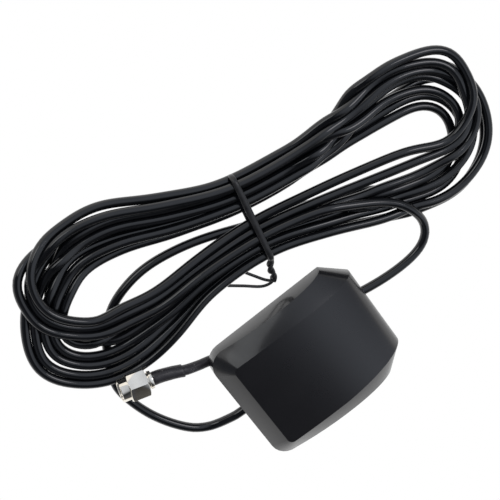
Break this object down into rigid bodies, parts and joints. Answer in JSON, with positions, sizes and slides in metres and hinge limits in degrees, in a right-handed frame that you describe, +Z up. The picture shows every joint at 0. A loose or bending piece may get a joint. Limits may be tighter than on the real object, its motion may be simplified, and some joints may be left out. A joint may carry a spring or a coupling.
{
  "type": "patch antenna with coaxial lead",
  "caption": "Small black magnetic-base receiving antenna with a rolled, chamfered housing and a thin lead wound in a tied hank that ends in a screw-on coaxial plug.",
  "frame": {"origin": "on the floor under the middle of the housing's outer box", "axes": "+X along the housing from the lead's exit to the rolled nose, +Y from the side that lies on the floor to the side raised on the lead, +Z up"},
  "size_m": [0.1565, 0.1033, 0.0152],
  "materials": {
    "cover_plastic": "satin, fine spark-eroded grain",
    "base_plastic": "matte",
    "foot_rubber": "matte",
    "bush_rubber": "matte",
    "magnet_plate": "plated",
    "screw_steel": "bright",
    "board": "satin",
    "patch_ceramic": "matte",
    "silver_plate": "satin",
    "tin_plate": "satin",
    "chip": "matte",
    "cable_jacket": "satin",
    "copper": "bright",
    "nickel": "polished",
    "gold": "bright",
    "insulator": "satin",
    "gasket": "matte",
    "spring_bronze": "bright",
    "ferrule": "satin",
    "shrink_sleeve": "satin",
    "tie": "satin"
  },
  "bodies": {
    "antenna": {"top_cover": "cover_plastic", "base_plate": "base_plastic", "foot_pad": "foot_rubber", "magnet_rear": "magnet_plate", "magnet_front": "magnet_plate", "base_screw_1": "screw_steel", "base_screw_2": "screw_steel", "base_screw_3": "screw_steel", "base_screw_4": "screw_steel", "circuit_board": "board", "patch_ceramic": "patch_ceramic", "patch_electrode": "silver_plate", "feed_pin": "silver_plate", "screen_can": "tin_plate", "amplifier_chip": "chip", "filter_chip": "chip", "cable_bush": "bush_rubber", "inner_lead": "cable_jacket", "crimp_collar": "tin_plate", "lead_core": "copper", "housing_lead": "cable_jacket", "cable_hank": "cable_jacket", "plug_lead": "cable_jacket", "shrink_tail": "shrink_sleeve", "shrink_boot": "shrink_sleeve", "crimp_ferrule": "ferrule", "plug_body": "nickel", "retaining_ring": "spring_bronze", "plug_gasket": "gasket", "plug_insulator": "insulator", "centre_contact": "gold", "tie_band": "tie", "tie_twist": "tie", "tie_tail_long": "tie", "tie_tail_short": "tie"},
    "nut": {"coupling_nut": "nickel"}
  },
  "joints": [
    {"name": "nut_spin", "type": "hinge", "parent": "antenna", "child": "nut", "pos_m": [-0.05025, 0.02957, 0.00685], "axis": [0.9361, -0.3407, -0.0872], "continuous": true}
  ]
}
